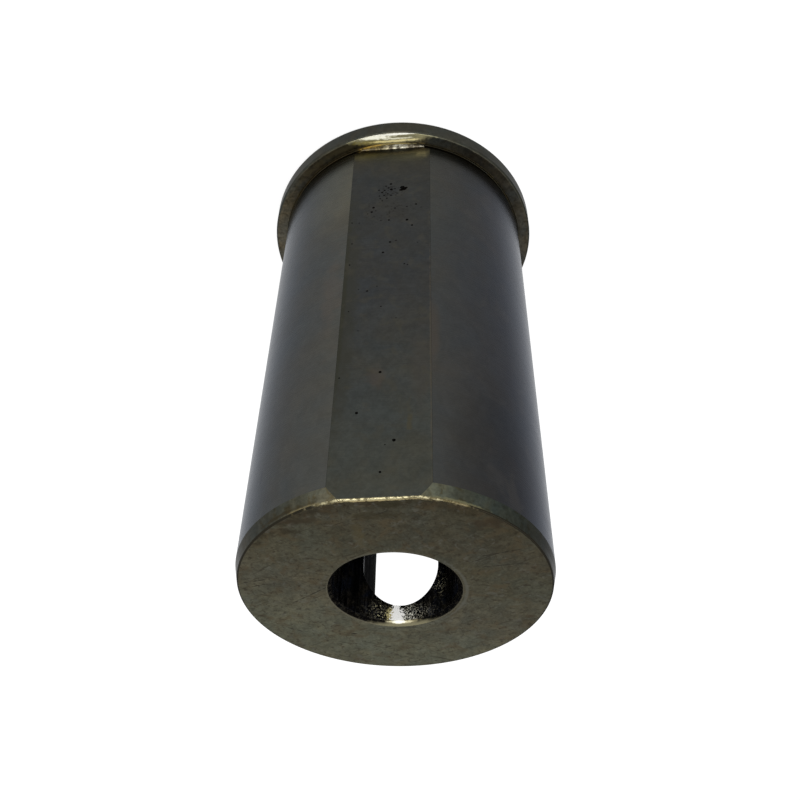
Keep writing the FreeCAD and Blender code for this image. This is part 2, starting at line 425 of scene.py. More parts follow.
def makeScratch():
    s = scratchShape
    inputs = [("Place", "Vector", None), ("From", "Vector", (0, 0, 0)), ("To", "Vector", (0.001, 0, 0)),
              ("Width", "Float", 0.0001)]
    group, given, result = newGroup("scratch", inputs, [("Mask", "Float")])
    along = vectorMaths(group, "SUBTRACT", given["To"], given["From"])
    reach = vectorMaths(group, "SUBTRACT", given["Place"], given["From"])
    share = maths(group, "DIVIDE", vectorMaths(group, "DOT_PRODUCT", reach, along, out="Value"),
                  vectorMaths(group, "DOT_PRODUCT", along, along, out="Value"))
    share = addNode(group, "Clamp", {0: share}).outputs[0]
    nearest = vectorMaths(group, "ADD", given["From"], scaled(group, along, share))
    distance = vectorMaths(group, "DISTANCE", given["Place"], nearest, out="Value")
    values = {"Vector": given["Place"], "Scale": s["scale"], "Detail": s["detail"]}
    broken = addNode(group, "TexNoise", values).outputs["Fac"]
    broken = remap(group, broken, s["thinBelow"], s["wideAbove"], s["thin"], s["wide"])
    width = maths(group, "MULTIPLY", given["Width"], broken)
    mask = remap(group, maths(group, "DIVIDE", distance, width), 1.0, s["core"])
    group.links.new(mask, result.inputs["Mask"])
    return group


fleckShape = {"edge": 0.6, "core": 0.3}


def makeFlecks():
    inputs = [("Place", "Vector", None), ("Size", "Float", 0.0004), ("Cover", "Float", 0.1)]
    group, given, result = newGroup("flecks", inputs, [("Mask", "Float")])
    scale = maths(group, "DIVIDE", 1.0, given["Size"])
    cells = addNode(group, "TexVoronoi", {"Vector": given["Place"], "Scale": scale}, feature="F1")
    chance = addNode(group, "SeparateColor", {0: cells.outputs["Color"]}).outputs[0]
    chosen = maths(group, "LESS_THAN", chance, given["Cover"])
    dot = remap(group, cells.outputs["Distance"], fleckShape["edge"], fleckShape["core"])
    group.links.new(maths(group, "MULTIPLY", chosen, dot), result.inputs["Mask"])
    return group


hairShape = {
    "bendScale": 90.0,
    "bendDetail": 1.0,
    "detail": 1.0,
    "roughness": 0.4,
    "rarest": 0.74,
    "coverShare": 0.3,
    "soft": 0.06,
}


def makeHairs():
    s = hairShape
    inputs = [("Place", "Vector", None), ("Turn", "Float", 0.0), ("Stretch", "Vector", (1, 1, 1)),
              ("Cover", "Float", 0.1)]
    group, given, result = newGroup("hairs", inputs, [("Mask", "Float")])
    values = {"Vector": given["Place"], "Angle": given["Turn"]}
    turned = addNode(group, "VectorRotate", values, rotation_type="Z_AXIS").outputs[0]
    stretched = vectorMaths(group, "MULTIPLY", turned, given["Stretch"])
    values = {"Vector": given["Place"], "Scale": s["bendScale"], "Detail": s["bendDetail"]}
    bent = addNode(group, "TexNoise", values).outputs["Color"]
    values = {"Vector": vectorMaths(group, "ADD", stretched, bent), "Scale": 1.0, "Detail": s["detail"],
              "Roughness": s["roughness"]}
    streak = addNode(group, "TexNoise", values).outputs["Fac"]
    low = maths(group, "SUBTRACT", s["rarest"], maths(group, "MULTIPLY", given["Cover"], s["coverShare"]))
    high = maths(group, "ADD", low, s["soft"])
    group.links.new(remap(group, streak, low, high), result.inputs["Mask"])
    return group


aroundAxis, toolLines, cloud = makeAroundAxis(), makeToolLines(), makeCloud()
patch, scratch, flecks, hairs = makePatch(), makeScratch(), makeFlecks(), makeHairs()
print("effects ready")


# A finish is the steel's tone, in places with painted light and shade, with its layers in order. A round
# layer, and a round finish's tool
# lines, read the unrolled place: way round from the flat, radius, height.

# what a layer takes unless it says otherwise
layerPlain = {"strength": 1.0, "soft": 0.15, "ragged": 0.3, "grain": 2.0, "core": 0.3}

steelPlain = {  # what every finish shares
    "cover": 0.5,
    "broadSoftness": 0.45,
    "mottleSoftness": 0.5,
    "reliefStrength": 0.3,
    "reliefHeight": 0.01,
}


def mmVector(values):
    return tuple(value * mm for value in values)


def toneAlong(tree, place, across):
    distance = vectorMaths(tree, "DOT_PRODUCT", place, across["direction"], out="Value")
    stops = across["tones"]
    low, high = stops[0][0], stops[-1][0]
    ramp = addNode(tree, "ValToRGB", {0: remap(tree, distance, low * mm, high * mm, kind="LINEAR")})
    elements = ramp.color_ramp.elements
    for element, (_, tone) in zip(elements, (stops[0], stops[-1])):
        element.color = rgba(tone)
    for position, tone in stops[1:-1]:
        elements.new((position - low) / (high - low)).color = rgba(tone)
    return ramp.outputs["Color"]


def layerMask(tree, layer, place, unrolled):
    layer = {**layerPlain, **layer}
    where = unrolled if layer.get("round") else place
    if "marks" in layer:
        mask = 0.0
        for start, end, width in layer["marks"]:
            values = {"Place": where, "From": mmVector(start), "To": mmVector(end), "Width": width * mm}
            mask = maths(tree, "MAXIMUM", mask, useGroup(tree, scratch, values, "Mask"))
    elif "hairs" in layer:
        turn, length, width = layer["hairs"]
        values = {"Place": where, "Turn": math.radians(turn), "Cover": layer["cover"],
                  "Stretch": (1 / (length * mm), 1 / (width * mm), 0)}
        mask = useGroup(tree, hairs, values, "Mask")
    elif "cover" in layer:
        values = {"Place": where, "Size": layer["size"] * mm, "Cover": layer["cover"],
                  "Softness": layer["soft"], "Seed": layer["seed"]}
        mask = useGroup(tree, cloud, values, "Mask")
    else:
        values = {"Place": where, "Centre": mmVector(layer["centre"]), "Size": mmVector(layer["size"]),
                  "Ragged": layer["ragged"], "Grain": layer["grain"] * mm, "Core": layer["core"]}
        mask = useGroup(tree, patch, values, "Mask")
    if "flecks" in layer:
        size, share = layer["flecks"]
        dots = useGroup(tree, flecks, {"Place": place, "Size": size * mm, "Cover": share}, "Mask")
        mask = maths(tree, "MULTIPLY", mask, dots)
    return maths(tree, "MULTIPLY", mask, layer["strength"])


def varied(tree, color, shade, amount):
    return scaled(tree, color, remap(tree, shade, 0, 1, 1 - amount, 1 + amount, "LINEAR"))


def steelFinish(name, look):
    material = bpy.data.materials.new(name)
    material.use_nodes = True
    tree = material.node_tree
    shader = tree.nodes["Principled BSDF"]
    place = addNode(tree, "TexCoord").outputs["Object"]
    unrolled = useGroup(tree, aroundAxis, {"Place": place}, "Unrolled")
    pattern = unrolled if look.get("round") else place
    lines = useGroup(tree, toolLines, {"Place": pattern, "Stretch": look["lines"]}, "Shade")

    color = toneAlong(tree, place, look["across"]) if "across" in look else look["tone"]
    broad = {"Place": place, "Size": look["cloudSize"] * mm, "Cover": steelPlain["cover"],
             "Softness": steelPlain["broadSoftness"], "Seed": look["seed"]}
    tint = blend(tree, useGroup(tree, cloud, broad, "Mask"), look["cool"], look["warm"])
    color = varied(tree, blend(tree, 1.0, color, tint, "MULTIPLY"), lines, look["lineTone"])
    for size, amount in look.get("mottle", ()):
        fine = dict(broad, Size=size * mm, Softness=steelPlain["mottleSoftness"], Seed=look["seed"] + size)
        color = varied(tree, color, useGroup(tree, cloud, fine, "Mask"), amount)

    roughness = remap(tree, lines, 0, 1, *look["roughness"], "LINEAR")
    metallic = look.get("metallic", 1.0)
    height = maths(tree, "MULTIPLY", lines, look["lineDepth"])
    for layer in look.get("layers", ()):
        mask = layerMask(tree, layer, place, unrolled)
        color = blend(tree, mask, color, layer["tone"], layer.get("mode", "MIX"))
        if "rough" in layer:
            roughness = between(tree, mask, roughness, layer["rough"])
        if "metal" in layer:
            metallic = between(tree, mask, metallic, layer["metal"])
        if "marks" in layer:
            height = maths(tree, "SUBTRACT", height, mask)

    relief = {"Strength": steelPlain["reliefStrength"], "Distance": steelPlain["reliefHeight"] * mm}
    bump = addNode(tree, "Bump", {**relief, "Height": height})
    tree.links.new(bump.outputs[0], shader.inputs["Normal"])
    tree.links.new(color, shader.inputs["Base Color"])
    tree.links.new(roughness, shader.inputs["Roughness"])
    if isinstance(metallic, bpy.types.NodeSocket):
        tree.links.new(metallic, shader.inputs["Metallic"])
    else:
        shader.inputs["Metallic"].default_value = metallic
    shader.inputs["Specular Tint"].default_value = rgba(look.get("edge", (1, 1, 1)))
    shader.inputs["Specular IOR Level"].default_value = look.get("gloss", 0.5)
    return material


# "lines" stretches the tool lines, "across" gives tones along a direction, "warm" and "cool" tint the
# clouds, "mottle" is size and amount, "edge" tints glancing light, "gloss" is the specular level.

groundShank = {
    "round": True, "lines": (60, 60, 7000), "lineTone": 0.035, "lineDepth": 1.0, "cloudSize": 14,
    "seed": 0.3,
    # tones across the shank: painted shade, darker on the -X side
    "across": {"direction": (1, 0, 0), "tones": [
        (-31.75, (0.03, 0.03, 0.033)), (-25, (0.0255, 0.025, 0.026)), (-18, (0.033, 0.0335, 0.034)),
        (-9.5, (0.041, 0.042, 0.04)), (9.5, (0.0585, 0.0585, 0.052)), (22, (0.0478, 0.0485, 0.0448)),
        (28.5, (0.0458, 0.0478, 0.0452)), (31.75, (0.0485, 0.051, 0.051))]},
    "warm": (1.05, 1.0, 0.93), "cool": (0.95, 0.99, 1.03), "mottle": [(0.7, 0.05), (3.5, 0.06)],
    "roughness": (0.24, 0.3), "edge": (0.6, 0.62, 0.66),
    "layers": [
        # broad shading round the shank
        {"round": True, "centre": (0, 31.75, 0), "size": (70, 3, 60), "tone": (1.12, 1.08, 0.96),
         "mode": "MULTIPLY", "ragged": 0.05, "grain": 9},
        {"round": True, "centre": (13, 31.75, 16), "size": (11, 3, 26), "tone": (1.25, 1.25, 1.2),
         "mode": "MULTIPLY", "ragged": 0.1, "grain": 9},
        {"round": True, "centre": (-22, 31.75, 112), "size": (13, 3, 42), "tone": (0.78, 0.77, 0.76),
         "mode": "MULTIPLY", "ragged": 0.1, "grain": 9},
        # faint brown stains, most beside the flat
        {"round": True, "centre": (11.8, 31.75, 60), "size": (3.2, 3, 22), "tone": (0.088, 0.068, 0.05),
         "strength": 0.28, "ragged": 0.4, "grain": 3},
        {"round": True, "centre": (-9.2, 31.75, 75), "size": (2.2, 3, 14), "tone": (0.055, 0.044, 0.034),
         "strength": 0.5, "ragged": 0.3, "grain": 5},
        {"size": 9, "cover": 0.25, "seed": 2.3, "tone": (0.05, 0.045, 0.038), "strength": 0.25},
        # two short dark nicks
        {"round": True, "centre": (26.2, 31.75, 102), "size": (0.5, 3, 2.6), "tone": (0.03, 0.03, 0.03),
         "strength": 0.6},
        {"round": True, "centre": (26.2, 31.75, 64), "size": (0.45, 3, 2.2), "tone": (0.03, 0.03, 0.03),
         "strength": 0.5},
    ],
}

milledFlat = {
    "lines": (30, 60, 5200), "lineTone": 0.05, "lineDepth": 1.0, "cloudSize": 9, "seed": 1.7,
    # tones along the flat: painted shade, darkest near the flange end, lightest at the tail
    "across": {"direction": (0, 0, 1), "tones": [
        (5, (0.034, 0.032, 0.024)), (9, (0.036, 0.0355, 0.031)), (18, (0.0285, 0.0295, 0.028)),
        (60, (0.0315, 0.0328, 0.033)), (115, (0.0445, 0.047, 0.04))]},
    "warm": (1.05, 1.0, 0.92), "cool": (0.95, 0.99, 1.03),
    "mottle": [(0.6, 0.08), (1.8, 0.08), (6.0, 0.07)], "roughness": (0.26, 0.34), "edge": (0.7, 0.7, 0.7),
    "layers": [
        # light oil stains by the flange
        {"centre": (-8.0, -30.29, 6.4), "size": (3.4, 2, 4.4), "tone": (0.17, 0.15, 0.105),
         "strength": 0.65, "ragged": 0.25, "grain": 1.6, "core": 0.0},
        {"centre": (-2, -30.29, 7.2), "size": (5, 2, 1.0), "tone": (0.07, 0.06, 0.042), "strength": 0.6,
         "ragged": 0.35, "grain": 1.2},
        # strips along both edges
        {"centre": (-7.5, -30.29, 82), "size": (3, 2, 15), "tone": (0.055, 0.046, 0.035), "strength": 0.3,
         "ragged": 0.35, "grain": 5},
        {"centre": (8.6, -30.29, 62), "size": (3.2, 2, 50), "tone": (0.0295, 0.0295, 0.0232),
         "strength": 0.7, "ragged": 0.3, "grain": 3},
        {"centre": (9.3, -30.29, 62), "size": (0.9, 2, 50), "tone": (0.027, 0.027, 0.0185), "strength": 0.7,
         "ragged": 0.3, "grain": 2},
        {"centre": (-9.4, -30.29, 78), "size": (0.35, 2, 44), "tone": (0.07, 0.059, 0.044),
         "strength": 0.45, "ragged": 0.4, "grain": 1.5},
        # small stains
        {"centre": (1.5, -30.29, 86), "size": (2.4, 2, 4), "tone": (0.06, 0.046, 0.036), "strength": 0.4,
         "ragged": 0.4},
        {"centre": (-5.3, -30.29, 98), "size": (0.8, 2, 3.4), "tone": (0.055, 0.046, 0.024),
         "strength": 0.5, "ragged": 0.35, "grain": 1.5},
        {"size": 3.5, "cover": 0.28, "seed": 3.9, "tone": (0.05, 0.046, 0.033), "strength": 0.3},
        # specks of rust round the pits
        {"centre": (-0.4, -30.29, 23.6), "size": (4.6, 2, 3.6), "tone": (0.012, 0.011, 0.009),
         "strength": 0.9, "flecks": (0.5, 0.5), "ragged": 0.15},
        {"centre": (1, -30.29, 31), "size": (8, 2, 7), "tone": (0.014, 0.013, 0.011), "strength": 0.85,
         "flecks": (0.45, 0.14)},
    ],
}

turnedTail = {
    "round": True, "lines": (40, 5200, 60), "lineTone": 0.03, "lineDepth": 0.7, "cloudSize": 7, "seed": 2.2,
    # tones across the face: painted shade, darker towards the flat
    "across": {"direction": (0.447, 0.894, 0), "tones": [
        (-28, (0.0465, 0.0435, 0.0295)), (-18, (0.0505, 0.0475, 0.0335)), (-12.6, (0.0555, 0.0535, 0.0365)),
        (5, (0.0715, 0.068, 0.0485)), (20, (0.088, 0.088, 0.061))]},
    "warm": (1.05, 1.0, 0.93), "cool": (0.96, 1.0, 1.04), "mottle": [(0.5, 0.15), (1.3, 0.15), (5.0, 0.14)],
    "roughness": (0.36, 0.46), "edge": (0.6, 0.6, 0.6),
    "layers": [
        # mottled oil film
        {"size": 3.2, "cover": 0.3, "soft": 0.2, "seed": 4.1, "tone": (0.066, 0.051, 0.029),
         "strength": 0.6},
        {"size": 1.0, "cover": 0.26, "soft": 0.14, "seed": 5.3, "tone": (0.028, 0.022, 0.014),
         "strength": 0.6},
        # painted shade, darker towards the flat
        {"round": True, "centre": (0, 30.2, 115.9), "size": (38, 2.6, 1), "tone": (0.7, 0.63, 0.55),
         "mode": "MULTIPLY", "strength": 0.8, "ragged": 0.5, "grain": 2.2},
        {"size": 1.6, "cover": 0.2, "soft": 0.14, "seed": 6.6, "tone": (0.11, 0.11, 0.095),
         "strength": 0.3},
        # hair-like marks
        {"hairs": (20, 5, 0.3), "cover": 0.22, "tone": (0.028, 0.023, 0.014), "strength": 0.6},
        {"hairs": (-28, 4, 0.28), "cover": 0.22, "tone": (0.028, 0.023, 0.014), "strength": 0.55},
        {"hairs": (75, 2.5, 0.24), "cover": 0.15, "tone": (0.032, 0.026, 0.016), "strength": 0.45},
        # single stains
        {"centre": (4.9, -20.5, 115.9), "size": (1.5, 6, 1), "tone": (0.066, 0.052, 0.025), "strength": 0.5,
         "ragged": 0.4},
        {"centre": (-1.8, -28.4, 115.9), "size": (3.4, 1.2, 1), "tone": (0.026, 0.023, 0.012),
         "strength": 0.75, "ragged": 0.4},
        {"centre": (15.2, -24.6, 115.9), "size": (5, 1.2, 1), "tone": (0.035, 0.027, 0.016),
         "strength": 0.7, "ragged": 0.4},
        {"centre": (17.5, -21.5, 115.9), "size": (2.6, 1.5, 1), "tone": (0.02, 0.016, 0.009),
         "strength": 0.6, "ragged": 0.5, "grain": 1.2},
        {"centre": (0.5, -25.5, 115.9), "size": (7, 1.4, 1), "tone": (0.03, 0.024, 0.012), "strength": 0.5,
         "ragged": 0.5, "grain": 1.0},
        {"centre": (-19.5, -21.5, 115.9), "size": (5.5, 2.2, 1), "tone": (0.035, 0.026, 0.016),
         "strength": 0.7, "ragged": 0.45},
        {"centre": (-26.6, 11.2, 115.9), "size": (1.4, 0.9, 1), "tone": (0.045, 0.032, 0.018),
         "strength": 0.7, "ragged": 0.3},
        {"centre": (10.2, 15.9, 115.9), "size": (0.8, 0.35, 1), "tone": (0.012, 0.011, 0.008),
         "strength": 0.95, "ragged": 0.15},
        # painted highlights along the rim and the flat's end, and light lines round the bore's mouth
        {"round": True, "centre": (-1, 30.6, 115.9), "size": (13, 0.3, 1), "tone": (0.3, 0.25, 0.13),
         "strength": 0.8, "ragged": 0.45, "grain": 0.7},
        {"centre": (0, -29.85, 115.9), "size": (9.5, 0.35, 1), "tone": (0.42, 0.35, 0.18), "strength": 0.85,
         "ragged": 0.4, "grain": 0.6},
        {"round": True, "centre": (-50, 14.2, 115.9), "size": (38, 0.5, 1), "tone": (0.095, 0.094, 0.077),
         "strength": 0.65, "ragged": 0.25, "grain": 0.8},
        {"round": True, "centre": (0, 13.9, 115.9), "size": (30, 0.3, 1), "tone": (0.09, 0.085, 0.065),
         "strength": 0.7, "ragged": 0.15, "grain": 0.8},
        # dark line at the mouth over the slot
        {"centre": (0, 14.1, 115.9), "size": (9, 0.2, 1), "tone": (0.03, 0.028, 0.02), "strength": 0.6,
         "ragged": 0.2},
        # scratches
        {"marks": [
            ((29.1, -5.2, 115.9), (24.5, -6.1, 115.9), 0.22),
            ((28.0, -3.6, 115.9), (25.2, -4.4, 115.9), 0.14),
            ((-17.7, -11.3, 115.9), (-24.7, -13.1, 115.9), 0.2),
            ((-15.5, -9.4, 115.9), (-20.4, -12.0, 115.9), 0.13),
            ((20.8, 2.8, 115.9), (13.2, -2.5, 115.9), 0.16),
            ((-17.6, -7.6, 115.9), (-26, -8.4, 115.9), 0.13), ((24, 12.3, 115.9), (21, 14.2, 115.9), 0.14),
            ((-2.0, -27, 115.9), (1.5, -25.4, 115.9), 0.13)],
         "tone": (0.022, 0.019, 0.013), "strength": 0.8, "rough": 0.5},
    ],
}

turnedTaper = {
    "round": True, "lines": (40, 60, 4200), "lineTone": 0.05, "lineDepth": 0.8, "cloudSize": 7, "seed": 3.6,
    # tones round the taper: painted light and shade, lightest beside the flat and darkest on the -X side
    "across": {"direction": (1, 0, 0), "tones": [
        (-30, (0.012, 0.0135, 0.012)), (-20, (0.029, 0.033, 0.0275)), (-13, (0.055, 0.057, 0.043)),
        (-10, (0.085, 0.088, 0.065)), (10, (0.105, 0.1, 0.073)), (13, (0.065, 0.063, 0.046)),
        (20, (0.041, 0.04, 0.031)), (30, (0.03, 0.032, 0.028))]},
    "warm": (1.08, 1.0, 0.86), "cool": (0.92, 0.99, 1.02), "mottle": [(0.6, 0.14), (1.8, 0.2)],
    "roughness": (0.3, 0.4), "edge": (0.6, 0.6, 0.6),
    "layers": [
        {"size": 1.8, "cover": 0.3, "seed": 6.2, "tone": (0.75, 0.62, 0.42), "mode": "MULTIPLY",
         "strength": 0.7},
        # beside the flat: a dark patch and two painted highlights
        {"round": True, "centre": (19, 31.2, 115.0), "size": (8, 1, 0.4), "tone": (0.03, 0.024, 0.013),
         "strength": 0.75, "ragged": 0.4, "grain": 1.0},
        {"round": True, "centre": (14, 31.2, 115.6), "size": (5, 1, 0.4), "tone": (0.2, 0.165, 0.085),
         "strength": 0.6, "ragged": 0.35, "grain": 0.8},
        {"round": True, "centre": (-14, 31.2, 115.5), "size": (7, 1, 0.4), "tone": (0.16, 0.15, 0.08),
         "strength": 0.6, "ragged": 0.35, "grain": 0.8},
    ],
}

rimWithPaintedHighlight = dict(turnedTail, layers=[
    # a painted highlight across the flat's end
    {"round": True, "centre": (-16, 31, 115.75), "size": (9, 4, 2), "tone": (0.17, 0.14, 0.075),
     "strength": 0.8, "ragged": 0.35, "grain": 0.8},
    {"round": True, "centre": (20, 31, 115.75), "size": (10, 4, 2), "tone": (0.1, 0.08, 0.04),
     "strength": 0.7, "ragged": 0.4, "grain": 0.8},
    {"round": True, "centre": (0, 31, 115.75), "size": (13, 4, 2), "tone": (0.5, 0.45, 0.27),
     "strength": 0.95, "ragged": 0.3, "grain": 0.8, "rough": 0.4, "metal": 0.8, "core": 0.5},
    # speckled, then painted shade on both sides
    {"cover": 0.5, "size": 1.0, "soft": 0.12, "seed": 1.3, "tone": (0.08, 0.066, 0.03), "strength": 0.85},
    {"round": True, "centre": (46, 31, 115.75), "size": (34, 4, 2), "tone": (0.019, 0.017, 0.0125),
     "strength": 0.94, "ragged": 0.15, "core": 0.92},
    {"round": True, "centre": (-49, 31, 115.75), "size": (35, 4, 2), "tone": (0.0125, 0.0112, 0.0085),
     "strength": 0.94, "ragged": 0.15, "core": 0.92},
])

flangeSteel = {
    "round": True, "lines": (40, 3200, 3200), "lineTone": 0.05, "lineDepth": 0.8, "cloudSize": 8,
    "seed": 6.4,
    # tones round the flange: painted shade, darker on the -X side
    "across": {"direction": (1, 0, 0), "tones": [
        (-35, (0.022, 0.023, 0.019)), (-15, (0.038, 0.039, 0.032)), (35, (0.04, 0.041, 0.034))]},
    "warm": (1.1, 1.0, 0.88), "cool": (0.92, 0.98, 1.04), "mottle": [(0.7, 0.1), (1.8, 0.14)],
    "roughness": (0.34, 0.44), "edge": (0.6, 0.6, 0.6),
}

turnedSeat = {
    "round": True, "lines": (40, 3200, 40), "lineTone": 0.12, "lineDepth": 0.8, "cloudSize": 6, "seed": 7.4,
    # tones round the seat: painted light behind the flat and painted shade on its -X side
    "across": {"direction": (1, 0, 0), "tones": [
        (-33, (0.045, 0.043, 0.036)), (-20, (0.027, 0.025, 0.02)), (-13, (0.07, 0.07, 0.058)),
        (10, (0.075, 0.064, 0.038)), (16, (0.065, 0.056, 0.034)), (20, (0.056, 0.049, 0.034)),
        (33, (0.078, 0.072, 0.056))]},
    "warm": (1.12, 1.0, 0.82), "cool": (0.92, 0.98, 1.04), "mottle": [(0.6, 0.2), (1.6, 0.25)],
    "roughness": (0.34, 0.44), "edge": (0.6, 0.6, 0.6),
    "layers": [
        # painted highlights round the outer and inner edges, and mottling
        {"round": True, "centre": (0, 34.4, 4.7), "size": (26, 0.3, 1), "tone": (0.2, 0.19, 0.13),
         "strength": 0.55, "ragged": 0.3, "grain": 1.0},
        {"round": True, "centre": (0, 32.0, 4.7), "size": (40, 0.3, 1), "tone": (0.15, 0.12, 0.06),
         "strength": 0.65, "ragged": 0.4, "grain": 1.0},
        {"size": 1.6, "cover": 0.3, "seed": 8.8, "tone": (0.02, 0.016, 0.009), "strength": 0.5},
        {"round": True, "centre": (14, 33.4, 4.7), "size": (14, 0.8, 1), "tone": (0.1, 0.083, 0.045),
         "strength": 0.6, "ragged": 0.5, "grain": 1.0},
        # a painted reflection: the light patch by the flat, then its brightest places as painted glints
        {"centre": (0.3, -33.1, 4.76), "size": (13, 1.8, 0.5), "tone": (0.62, 0.58, 0.35), "strength": 0.94,
         "ragged": 0.2, "grain": 1.6, "core": 0.6},
        {"centre": (5.5, -32.3, 4.76), "size": (6, 0.9, 0.5), "tone": (0.5, 0.4, 0.1), "strength": 0.7,
         "ragged": 0.35, "grain": 0.9},
        {"centre": (-2, -34.2, 4.76), "size": (9.5, 0.45, 0.5), "tone": (1.0, 0.99, 0.9), "strength": 0.95,
         "ragged": 0.2, "grain": 1.0, "rough": 0.6, "metal": 0.0},
        {"centre": (4.2, -33.6, 4.76), "size": (6, 0.8, 0.5), "tone": (1.0, 0.98, 0.82), "strength": 0.95,
         "ragged": 0.3, "grain": 0.9, "rough": 0.6, "metal": 0.0},
        {"centre": (-1.5, -33.0, 4.76), "size": (5, 0.3, 0.5), "tone": (0.9, 0.88, 0.7), "strength": 0.8,
         "ragged": 0.4, "grain": 0.7, "rough": 0.6, "metal": 0.0},
        {"centre": (-1.0, -32.35, 4.76), "size": (8.5, 0.45, 0.5), "tone": (0.75, 0.64, 0.3),
         "strength": 0.85, "ragged": 0.3, "grain": 0.9, "rough": 0.6, "metal": 0.0},
    ],
}

seatGroove = {
    "round": True, "lines": (40, 60, 2200), "lineTone": 0.1, "lineDepth": 0.8, "cloudSize": 6, "seed": 4.4,
    # tones round the groove: painted shade, darker on the -X side
    "across": {"direction": (1, 0, 0), "tones": [
        (-33, (0.02, 0.019, 0.014)), (8, (0.022, 0.02, 0.014)), (14, (0.04, 0.035, 0.022)),
        (33, (0.045, 0.04, 0.027))]},
    "warm": (1.2, 1.0, 0.7), "cool": (0.9, 0.98, 1.04), "roughness": (0.34, 0.44), "edge": (0.6, 0.6, 0.6),
    "layers": [
        # golden light beside the flat
        {"centre": (0, -31.5, 5), "size": (9.8, 2, 1.5), "tone": (0.28, 0.22, 0.08), "strength": 0.8,
         "ragged": 0.3, "grain": 1.0, "rough": 0.6, "metal": 0.3},
        {"centre": (6, -31.5, 5), "size": (5, 2, 1.5), "tone": (0.42, 0.27, 0.05), "strength": 0.85,
         "ragged": 0.3, "grain": 0.8, "rough": 0.6, "metal": 0.3},
    ],
}

cutterCorner = {
    "lines": (2000, 40, 40), "lineTone": 0.15, "lineDepth": 0.8, "cloudSize": 3, "seed": 5.4,
    # tones along the corner: a painted highlight, brightest at its middle
    "across": {"direction": (1, 0, 0), "tones": [
        (-9.5, (0.14, 0.13, 0.1)), (-8, (0.33, 0.31, 0.255)), (-1, (0.46, 0.435, 0.35)),
        (1.5, (0.27, 0.235, 0.15)), (3, (0.2, 0.15, 0.055)), (9.5, (0.15, 0.11, 0.045))]},
    "warm": (1.05, 1.0, 0.9), "cool": (0.92, 0.98, 1.02), "mottle": [(0.5, 0.5), (1.4, 0.5)],
    "roughness": (0.4, 0.5), "metallic": 0.2,
    "layers": [
        # dark breaks in the painted highlight
        {"size": 1.4, "cover": 0.42, "soft": 0.12, "seed": 2.7, "tone": (0.06, 0.045, 0.02),
         "strength": 0.85},
    ],
}

oilyBoreWithPaintedGlint = {
    "round": True, "lines": (700, 60, 160), "lineTone": 0.6, "lineDepth": 1.0, "cloudSize": 3, "seed": 7.1,
    "tone": (0.032, 0.033, 0.034), "warm": (1.3, 1.1, 0.8), "cool": (0.5, 0.6, 0.9),
    "mottle": [(0.35, 0.5), (0.9, 0.5)], "roughness": (0.3, 0.55), "edge": (0.1, 0.1, 0.1),
    "layers": [
        # flecks of dried oil, the brightest of them painted glints
        {"centre": (0, 12, 113.8), "size": (13, 6, 3.4), "flecks": (0.24, 0.3), "tone": (0.16, 0.145, 0.1),
         "strength": 0.8, "metal": 0.0, "rough": 0.7, "ragged": 0.3, "grain": 1.5},
        {"centre": (5, 11.7, 112.6), "size": (3.8, 3, 3.4), "flecks": (0.22, 0.25),
         "tone": (0.15, 0.14, 0.1), "strength": 0.85, "metal": 0.0, "rough": 0.7, "ragged": 0.3,
         "grain": 1.2},
        {"centre": (4, 12, 112.8), "size": (3.4, 3, 3.0), "flecks": (0.25, 0.1), "tone": (0.8, 0.74, 0.45),
         "strength": 0.9, "metal": 0.0, "rough": 0.7, "ragged": 0.3, "grain": 1.2},
        {"centre": (-8.3, 9.8, 108.5), "size": (2.6, 3, 5), "flecks": (0.22, 0.22),
         "tone": (0.4, 0.37, 0.24), "strength": 0.8, "metal": 0.0, "rough": 0.7, "ragged": 0.3,
         "grain": 1.2},
        {"centre": (-3.0, 12.5, 113.4), "size": (6, 3, 3.2), "flecks": (0.2, 0.38),
         "tone": (0.4, 0.38, 0.3), "strength": 0.9, "metal": 0.0, "rough": 0.7, "ragged": 0.2},
        # a painted highlight: the white strip, with its golden edge and bright flecks
        {"centre": (2.2, 12.7, 113.7), "size": (1.2, 2, 2.2), "tone": (0.55, 0.48, 0.22), "strength": 0.9,
         "metal": 0.0, "rough": 0.5, "ragged": 0.7, "grain": 0.3},
        {"centre": (-1.2, 12.7, 113.8), "size": (2.6, 2, 3), "flecks": (0.24, 0.7),
         "tone": (0.95, 0.93, 0.8), "strength": 0.9, "metal": 0.0, "rough": 0.5, "ragged": 0.25},
        {"centre": (0.85, 12.7, 115.6), "size": (1.4, 2, 6), "tone": (1.0, 0.99, 0.95), "metal": 0.0,
         "rough": 0.5, "ragged": 0.6, "grain": 0.32, "core": 0.8},
        {"centre": (0.95, 12.7, 115.6), "size": (0.75, 2, 6), "tone": (1.0, 1.0, 0.97), "metal": 0.0,
         "rough": 0.3, "ragged": 0.4, "grain": 0.3, "core": 0.8},
    ],
}

